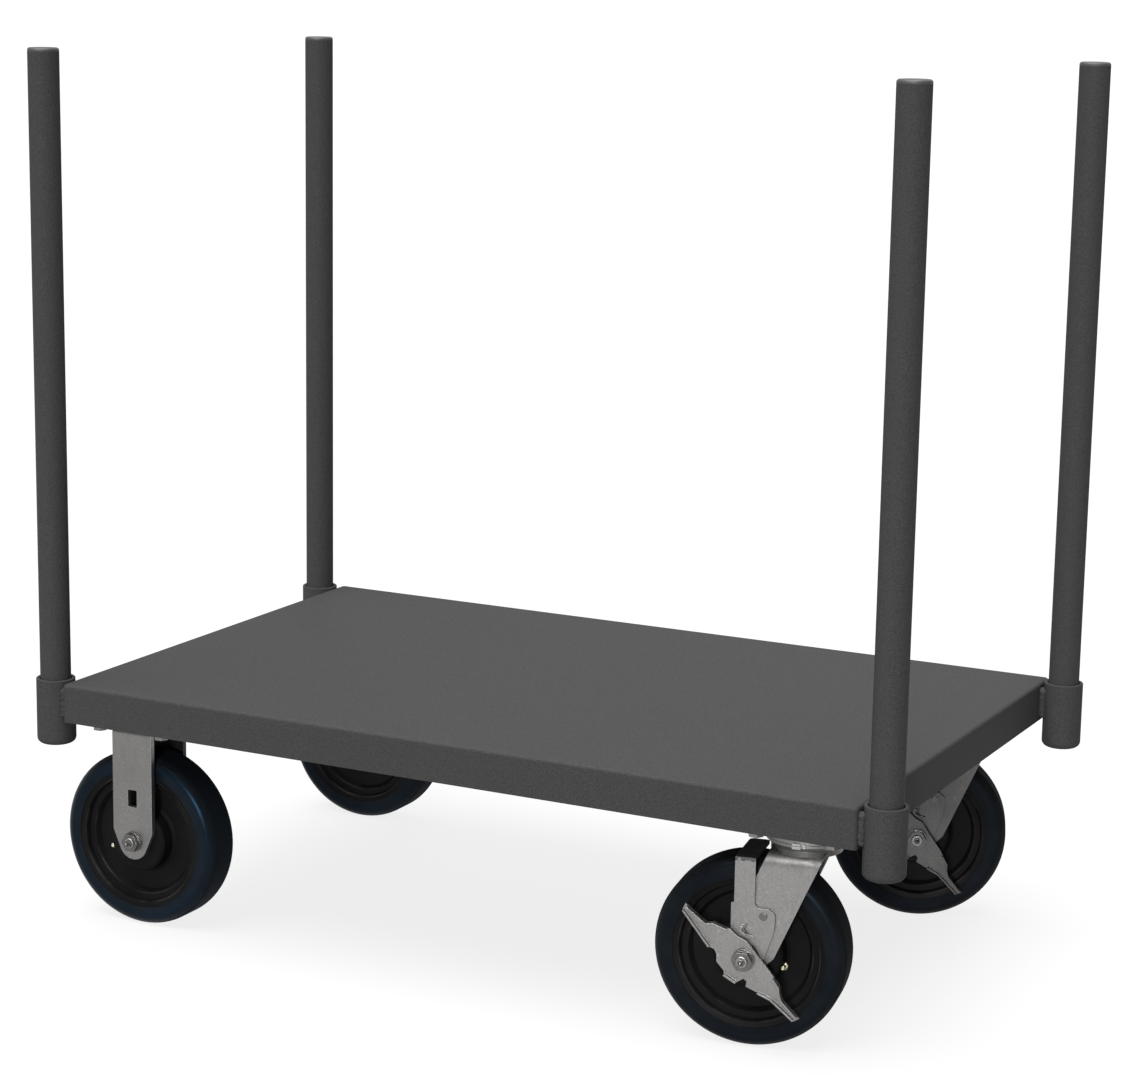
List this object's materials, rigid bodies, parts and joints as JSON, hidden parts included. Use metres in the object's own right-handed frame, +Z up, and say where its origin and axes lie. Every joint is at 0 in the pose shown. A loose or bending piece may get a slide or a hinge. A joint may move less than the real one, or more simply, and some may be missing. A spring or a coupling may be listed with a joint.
{
  "type": "stake platform truck",
  "caption": "Flat steel platform truck with round lift-out corner posts in end sockets, rigid casters at one end and swivel casters with foot brakes at the other.",
  "frame": {"origin": "on the floor under the middle of the deck", "axes": "+X along the deck towards the swivel casters, where the truck is pushed; +Z up; -Y is the left side of a person who pushes it"},
  "size_m": [1.0562, 0.6211, 0.994],
  "materials": {
    "powder_coat": "charcoal grey powder coat with a fine texture, satin",
    "zinc_plate": "pressed steel with bright zinc plating, faint grain and clouding",
    "wheel_core_plastic": "moulded black polyolefin, satin",
    "tread_polyurethane": "dark blue cast polyurethane, semi-gloss",
    "bearing_steel": "ground bearing steel with a film of grease",
    "cap_plastic": "moulded dark grey plug, satin"
  },
  "bodies": {
    "deck": {"deck_pan": "powder_coat", "front_cross_channel": "powder_coat", "rear_cross_channel": "powder_coat", "centre_rib": "powder_coat", "socket_welds": "powder_coat", "caster_bolts": "zinc_plate", "channel_nuts": "zinc_plate", "front_axle_bolts": "zinc_plate", "front_axle_hardware": "zinc_plate", "front_bushings": "bearing_steel", "kingpins": "zinc_plate", "front_left_socket": "powder_coat", "front_right_socket": "powder_coat", "rear_left_socket": "powder_coat", "rear_right_socket": "powder_coat", "front_left_plate": "zinc_plate", "front_right_plate": "zinc_plate", "rear_left_plate": "zinc_plate", "rear_right_plate": "zinc_plate", "front_left_fork": "zinc_plate", "front_right_fork": "zinc_plate"},
    "front_left_post": {"front_left_post": "powder_coat", "front_left_post_cap": "cap_plastic"},
    "front_right_post": {"front_right_post": "powder_coat", "front_right_post_cap": "cap_plastic"},
    "rear_left_post": {"rear_left_post": "powder_coat", "rear_left_post_cap": "cap_plastic"},
    "rear_right_post": {"rear_right_post": "powder_coat", "rear_right_post_cap": "cap_plastic"},
    "front_left_wheel": {"front_left_wheel_core": "wheel_core_plastic", "front_left_tread": "tread_polyurethane", "front_left_bearing": "bearing_steel"},
    "front_right_wheel": {"front_right_wheel_core": "wheel_core_plastic", "front_right_tread": "tread_polyurethane", "front_right_bearing": "bearing_steel"},
    "rear_left_wheel": {"rear_left_wheel_core": "wheel_core_plastic", "rear_left_tread": "tread_polyurethane", "rear_left_bearing": "bearing_steel"},
    "rear_left_swivel": {"rear_left_race_ring": "zinc_plate", "rear_left_balls": "bearing_steel", "rear_left_yoke": "zinc_plate", "rear_left_axle_bolt": "zinc_plate", "rear_left_axle_hardware": "zinc_plate", "rear_left_bushings": "bearing_steel", "rear_left_brake_rivet": "zinc_plate"},
    "rear_left_pedal": {"rear_left_brake_pedal": "zinc_plate"},
    "rear_left_lever": {"rear_left_brake_lever": "zinc_plate"},
    "rear_right_wheel": {"rear_right_wheel_core": "wheel_core_plastic", "rear_right_tread": "tread_polyurethane", "rear_right_bearing": "bearing_steel"},
    "rear_right_swivel": {"rear_right_race_ring": "zinc_plate", "rear_right_balls": "bearing_steel", "rear_right_yoke": "zinc_plate", "rear_right_axle_bolt": "zinc_plate", "rear_right_axle_hardware": "zinc_plate", "rear_right_bushings": "bearing_steel", "rear_right_brake_rivet": "zinc_plate"},
    "rear_right_pedal": {"rear_right_brake_pedal": "zinc_plate"},
    "rear_right_lever": {"rear_right_brake_lever": "zinc_plate"}
  },
  "joints": [
    {"name": "front_left_post_lift", "type": "slide", "parent": "deck", "child": "front_left_post", "axis": [0, 0, 1], "range_m": [0, 0.09]},
    {"name": "front_right_post_lift", "type": "slide", "parent": "deck", "child": "front_right_post", "axis": [0, 0, 1], "range_m": [0, 0.09]},
    {"name": "rear_left_post_lift", "type": "slide", "parent": "deck", "child": "rear_left_post", "axis": [0, 0, 1], "range_m": [0, 0.09]},
    {"name": "rear_right_post_lift", "type": "slide", "parent": "deck", "child": "rear_right_post", "axis": [0, 0, 1], "range_m": [0, 0.09]},
    {"name": "front_left_wheel_spin", "type": "hinge", "parent": "deck", "child": "front_left_wheel", "pos_m": [-0.4064, -0.2438, 0.1016], "axis": [0, 1, 0], "continuous": true},
    {"name": "front_right_wheel_spin", "type": "hinge", "parent": "deck", "child": "front_right_wheel", "pos_m": [-0.4064, 0.2438, 0.1016], "axis": [0, 1, 0], "continuous": true},
    {"name": "rear_left_swivel_turn", "type": "hinge", "parent": "deck", "child": "rear_left_swivel", "pos_m": [0.4064, -0.2438, 0.22], "axis": [0, 0, 1], "continuous": true},
    {"name": "rear_left_wheel_spin", "type": "hinge", "parent": "rear_left_swivel", "child": "rear_left_wheel", "pos_m": [0.3542, -0.253, 0.1016], "axis": [-0.1736, 0.9848, 0], "continuous": true},
    {"name": "rear_left_brake", "type": "hinge", "parent": "rear_left_swivel", "child": "rear_left_pedal", "pos_m": [0.3542, -0.253, 0.1016], "axis": [0.1736, -0.9848, 0], "range_deg": [0, 30]},
    {"name": "rear_left_brake_shoe", "type": "hinge", "parent": "rear_left_swivel", "child": "rear_left_lever", "pos_m": [0.37193, -0.24988, 0.1476], "axis": [0.1736, -0.9848, 0], "range_deg": [0, 5.4]},
    {"name": "rear_right_swivel_turn", "type": "hinge", "parent": "deck", "child": "rear_right_swivel", "pos_m": [0.4064, 0.2438, 0.22], "axis": [0, 0, 1], "continuous": true},
    {"name": "rear_right_wheel_spin", "type": "hinge", "parent": "rear_right_swivel", "child": "rear_right_wheel", "pos_m": [0.35629, 0.22654, 0.1016], "axis": [-0.3256, 0.9455, 0], "continuous": true},
    {"name": "rear_right_brake", "type": "hinge", "parent": "rear_right_swivel", "child": "rear_right_pedal", "pos_m": [0.35629, 0.22654, 0.1016], "axis": [0.3256, -0.9455, 0], "range_deg": [0, 36.5]},
    {"name": "rear_right_brake_shoe", "type": "hinge", "parent": "rear_right_swivel", "child": "rear_right_lever", "pos_m": [0.37331, 0.23241, 0.1476], "axis": [0.3256, -0.9455, 0], "range_deg": [0, 5.4]}
  ],
  "couplings": [
    {"joint": "rear_left_brake_shoe", "follows": "rear_left_brake", "ratio": 0.18},
    {"joint": "rear_right_brake_shoe", "follows": "rear_right_brake", "ratio": 0.14794}
  ]
}
